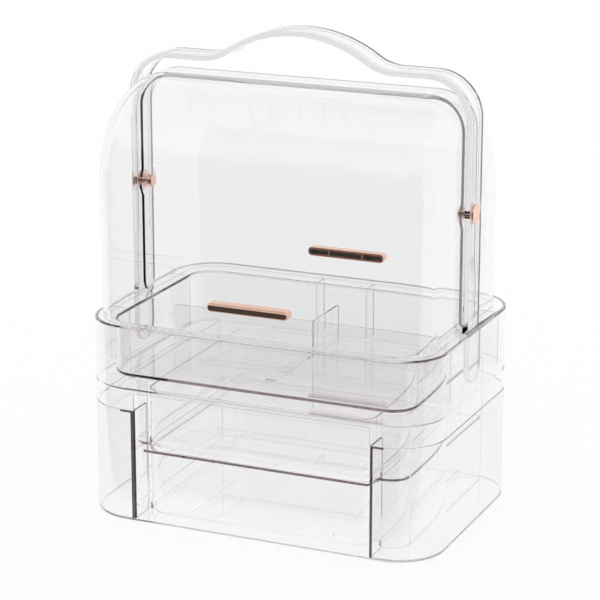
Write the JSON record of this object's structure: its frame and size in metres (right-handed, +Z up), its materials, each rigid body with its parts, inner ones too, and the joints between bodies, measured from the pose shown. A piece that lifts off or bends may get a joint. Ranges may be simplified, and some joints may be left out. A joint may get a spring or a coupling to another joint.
{
  "type": "makeup train case",
  "caption": "Clear cosmetics carry case: base with sliding drawers, divided tray, arched carrying handle and two overlapping swing covers with rose-gold pulls.",
  "frame": {"origin": "on the floor under the middle of the base's plan", "axes": "+Z up, -Y towards the drawers' open front, +X to the right seen from the front"},
  "size_m": [0.29, 0.2035, 0.379],
  "materials": {
    "clear_plastic": "clear moulded plastic, polished",
    "rose_gold": "polished rose-gold plating"
  },
  "bodies": {
    "case": {"base_casing": "clear_plastic", "deck": "clear_plastic", "mid_shelf": "clear_plastic", "left_guide": "clear_plastic", "right_guide": "clear_plastic", "upper_tray": "clear_plastic", "long_divider": "clear_plastic", "cross_divider": "clear_plastic", "handle": "clear_plastic", "left_washer": "clear_plastic", "right_washer": "clear_plastic", "left_pivot_pin": "rose_gold", "right_pivot_pin": "rose_gold", "left_cap_nut": "rose_gold", "right_cap_nut": "rose_gold"},
    "lower_drawer": {"lower_drawer": "clear_plastic", "left_drawer_divider": "clear_plastic", "right_drawer_divider": "clear_plastic"},
    "upper_drawer": {"upper_drawer": "clear_plastic"},
    "front_cover": {"front_cover": "clear_plastic", "front_pull": "rose_gold"},
    "rear_cover": {"rear_cover": "clear_plastic", "rear_pull": "rose_gold"}
  },
  "joints": [
    {"name": "front_cover_hinge", "type": "hinge", "parent": "case", "child": "front_cover", "pos_m": [0, 0, 0.2484], "axis": [-1, 0, 0], "range_deg": [0, 60]},
    {"name": "rear_cover_hinge", "type": "hinge", "parent": "case", "child": "rear_cover", "pos_m": [0, 0, 0.2484], "axis": [1, 0, 0], "range_deg": [0, 30]},
    {"name": "lower_drawer_slide", "type": "slide", "parent": "case", "child": "lower_drawer", "axis": [0, -1, 0], "range_m": [0, 0.11]},
    {"name": "upper_drawer_slide", "type": "slide", "parent": "case", "child": "upper_drawer", "axis": [0, -1, 0], "range_m": [0, 0.11]}
  ]
}
